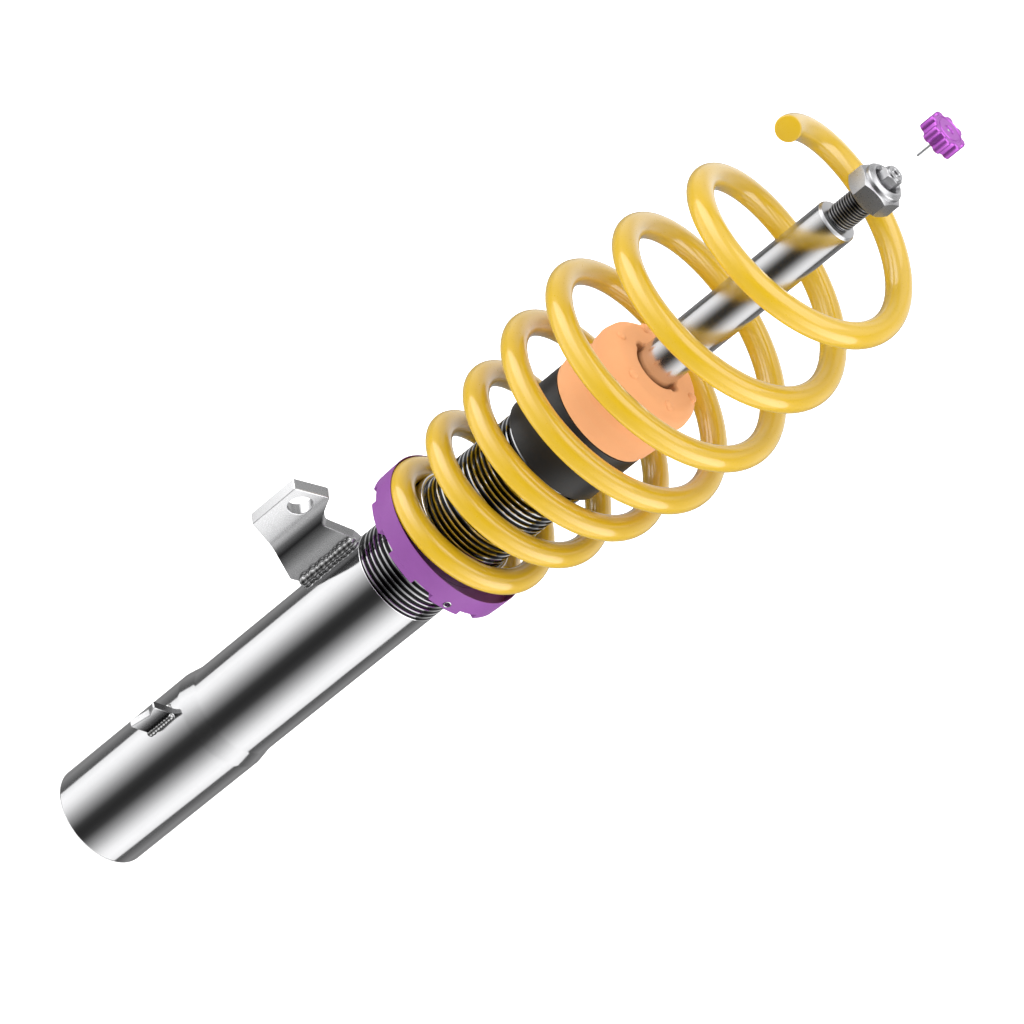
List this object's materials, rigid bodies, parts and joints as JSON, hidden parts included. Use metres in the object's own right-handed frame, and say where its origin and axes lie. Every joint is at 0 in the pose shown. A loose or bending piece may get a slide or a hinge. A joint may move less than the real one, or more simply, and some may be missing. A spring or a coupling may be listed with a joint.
{
  "type": "coilover strut",
  "caption": "Front suspension coilover: clamped damper tube with link bracket, threaded spring perch, coil spring, bump stop, chrome rod and a pull-off damping knob.",
  "frame": {"origin": "centre of the flat under the clamped foot of the damper tube", "axes": "+Z along the damper from the foot to the piston rod; -X to the side of the link bracket; -Y to the side of the locating lug"},
  "size_m": [0.1303, 0.1282, 0.5866],
  "materials": {
    "chrome_tube": "bright polished zinc-free stainless steel",
    "weld_steel": "rippled weld metal, brushed clean",
    "bracket_steel": "satin pickled steel plate",
    "inner_steel": "turned steel",
    "shim_steel": "spring steel",
    "cast_guide": "machined",
    "bush_bronze": "PTFE-lined bronze",
    "seal_rubber": "nitrile rubber",
    "band_ptfe": "bronze-filled PTFE",
    "chrome_rod": "hard chrome, polished",
    "nut_steel": "zinc-plated, satin",
    "spring_paint": "glossy yellow powder coat",
    "perch_violet": "moulded violet composite, satin",
    "insert_steel": "stainless, turned",
    "screw_steel": "satin",
    "bump_foam": "microcellular polyurethane foam, matt",
    "dust_black": "satin black polypropylene",
    "knob_anodised": "bright violet anodised aluminium"
  },
  "bodies": {
    "strut": {"strut_tube": "chrome_tube", "foot_cap": "inner_steel", "locating_lug": "bracket_steel", "lug_weld": "weld_steel", "link_bracket": "bracket_steel", "bracket_weld": "weld_steel", "pressure_tube": "inner_steel", "foot_valve": "cast_guide", "foot_valve_shims": "shim_steel", "foot_valve_bolt": "inner_steel", "rod_guide": "cast_guide", "guide_bush": "bush_bronze", "rod_seal": "seal_rubber", "gland_nut": "inner_steel", "wiper_ring": "seal_rubber"},
    "rod": {"piston_rod": "chrome_rod", "piston": "cast_guide", "piston_band": "band_ptfe", "piston_shims": "shim_steel", "piston_nut": "inner_steel", "rebound_sleeve": "inner_steel", "rebound_bumper": "seal_rubber", "top_nut": "nut_steel"},
    "adjuster": {"adjuster_rod": "inner_steel", "adjuster_seal": "seal_rubber", "detent_spring": "shim_steel", "detent_balls": "shim_steel"},
    "knob": {"knob": "knob_anodised", "knob_pin": "shim_steel"},
    "spring": {"coil_spring": "spring_paint"},
    "perch": {"perch_collar": "perch_violet", "perch_insert": "insert_steel", "perch_lock_screw": "screw_steel"},
    "bump": {"bump_stop": "bump_foam", "dust_tube": "dust_black"}
  },
  "joints": [
    {"name": "rod_slide", "type": "slide", "parent": "strut", "child": "rod", "axis": [0, 0, 1], "range_m": [-0.11, 0], "stiffness_N_per_m": 250, "springref_m": 0.5, "deforming": ["coil_spring"]},
    {"name": "adjuster_turn", "type": "hinge", "parent": "rod", "child": "adjuster", "pos_m": [0, 0, 0.54], "axis": [0, 0, 1], "range_deg": [0, 720]},
    {"name": "knob_push", "type": "slide", "parent": "adjuster", "child": "knob", "axis": [0, 0, 1], "range_m": [-0.0295, 0]},
    {"name": "spring_height", "type": "slide", "parent": "strut", "child": "spring", "axis": [0, 0, 1], "range_m": [-0.018, 0.039]},
    {"name": "perch_turn", "type": "hinge", "parent": "spring", "child": "perch", "pos_m": [0, 0, 0.252], "axis": [0, 0, 1], "range_deg": [-2160, 4680]},
    {"name": "bump_slide", "type": "slide", "parent": "strut", "child": "bump", "axis": [0, 0, 1], "range_m": [0, 0.02]}
  ],
  "couplings": [
    {"joint": "perch_turn", "follows": "spring_height", "rad_per_m": 2094.4}
  ]
}
